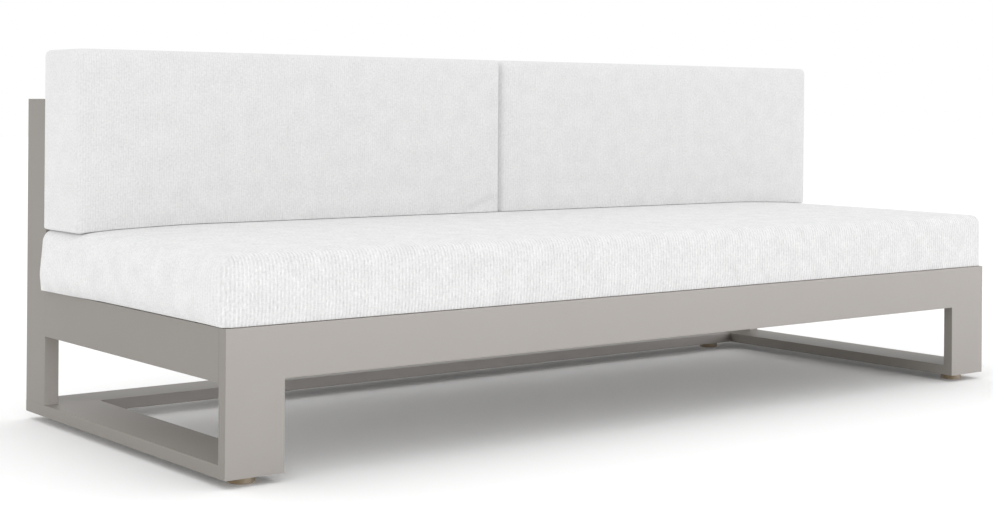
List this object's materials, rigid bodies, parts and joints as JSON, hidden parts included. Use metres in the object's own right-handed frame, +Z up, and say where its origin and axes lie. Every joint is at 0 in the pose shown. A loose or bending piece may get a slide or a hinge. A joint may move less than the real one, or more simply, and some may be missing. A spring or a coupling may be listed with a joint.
{
  "type": "modular outdoor sofa",
  "caption": "Armless module of an outdoor sofa: flat mitred metal frame on small feet, one long seat cushion and loose back cushions in pale ribbed fabric.",
  "frame": {"origin": "on the floor, under the middle of the frame", "axes": "+X to the right in a view from the front, +Y to the rear, +Z up"},
  "size_m": [2.25, 0.89, 0.8131],
  "materials": {
    "frame": "satin",
    "hardware": "satin",
    "foot": "matte",
    "cover": "matte",
    "foam": "matte",
    "zip": "matte"
  },
  "bodies": {
    "frame": {"left_front_leg": "frame", "left_runner": "frame", "left_rear_post": "frame", "left_post_cap": "frame", "left_side_rail": "frame", "right_front_leg": "frame", "right_runner": "frame", "right_rear_post": "frame", "right_post_cap": "frame", "right_side_rail": "frame", "front_apron": "frame", "rear_floor_rail": "frame", "rear_seat_rail": "frame", "back_top_rail": "frame", "seat_slat_1": "frame", "seat_slat_2": "frame", "seat_slat_3": "frame", "seat_slat_4": "frame", "seat_slat_5": "frame", "seat_slat_6": "frame", "seat_slat_7": "frame", "seat_slat_8": "frame", "seat_slat_9": "frame", "seat_slat_10": "frame", "back_slat_1": "frame", "back_slat_2": "frame", "back_slat_3": "frame", "back_slat_4": "frame", "back_slat_5": "frame", "back_slat_6": "frame", "back_slat_7": "frame", "back_slat_8": "frame", "back_slat_9": "frame", "back_slat_10": "frame", "front_ledger": "frame", "rear_ledger": "frame", "slat_screws": "hardware", "foot_inserts": "hardware"},
    "seat_cushion": {"seat_cushion_cover": "cover", "seat_cushion_core": "foam", "seat_cushion_zip_tape": "zip"},
    "left_back_cushion": {"left_back_cushion_cover": "cover", "left_back_cushion_core": "foam", "left_back_cushion_zip_tape": "zip"},
    "right_back_cushion": {"right_back_cushion_cover": "cover", "right_back_cushion_core": "foam", "right_back_cushion_zip_tape": "zip"},
    "seat_cushion_zip_slider": {"seat_cushion_zip_slider": "zip"},
    "left_back_cushion_zip_slider": {"left_back_cushion_zip_slider": "zip"},
    "right_back_cushion_zip_slider": {"right_back_cushion_zip_slider": "zip"},
    "front_left_foot": {"front_left_foot_pad": "foot", "front_left_foot_stem": "hardware"},
    "front_right_foot": {"front_right_foot_pad": "foot", "front_right_foot_stem": "hardware"},
    "rear_left_foot": {"rear_left_foot_pad": "foot", "rear_left_foot_stem": "hardware"},
    "rear_right_foot": {"rear_right_foot_pad": "foot", "rear_right_foot_stem": "hardware"}
  },
  "joints": [
    {"name": "seat_cushion_draw_out", "type": "slide", "parent": "frame", "child": "seat_cushion", "axis": [0, -1, 0], "range_m": [0, 0.82]},
    {"name": "left_back_cushion_lift", "type": "slide", "parent": "frame", "child": "left_back_cushion", "axis": [0, 0, 1], "range_m": [0, 0.4]},
    {"name": "right_back_cushion_lift", "type": "slide", "parent": "frame", "child": "right_back_cushion", "axis": [0, 0, 1], "range_m": [0, 0.4]},
    {"name": "seat_cushion_zip_run", "type": "slide", "parent": "seat_cushion", "child": "seat_cushion_zip_slider", "axis": [1, 0, 0], "range_m": [0, 1.47]},
    {"name": "left_back_cushion_zip_run", "type": "slide", "parent": "left_back_cushion", "child": "left_back_cushion_zip_slider", "axis": [-1, 0, 0], "range_m": [0, 0.77]},
    {"name": "right_back_cushion_zip_run", "type": "slide", "parent": "right_back_cushion", "child": "right_back_cushion_zip_slider", "axis": [-1, 0, 0], "range_m": [0, 0.77]},
    {"name": "front_left_foot_level", "type": "slide", "parent": "frame", "child": "front_left_foot", "axis": [0, 0, -1], "range_m": [0, 0.008]},
    {"name": "front_right_foot_level", "type": "slide", "parent": "frame", "child": "front_right_foot", "axis": [0, 0, -1], "range_m": [0, 0.008]},
    {"name": "rear_left_foot_level", "type": "slide", "parent": "frame", "child": "rear_left_foot", "axis": [0, 0, -1], "range_m": [0, 0.008]},
    {"name": "rear_right_foot_level", "type": "slide", "parent": "frame", "child": "rear_right_foot", "axis": [0, 0, -1], "range_m": [0, 0.008]}
  ]
}
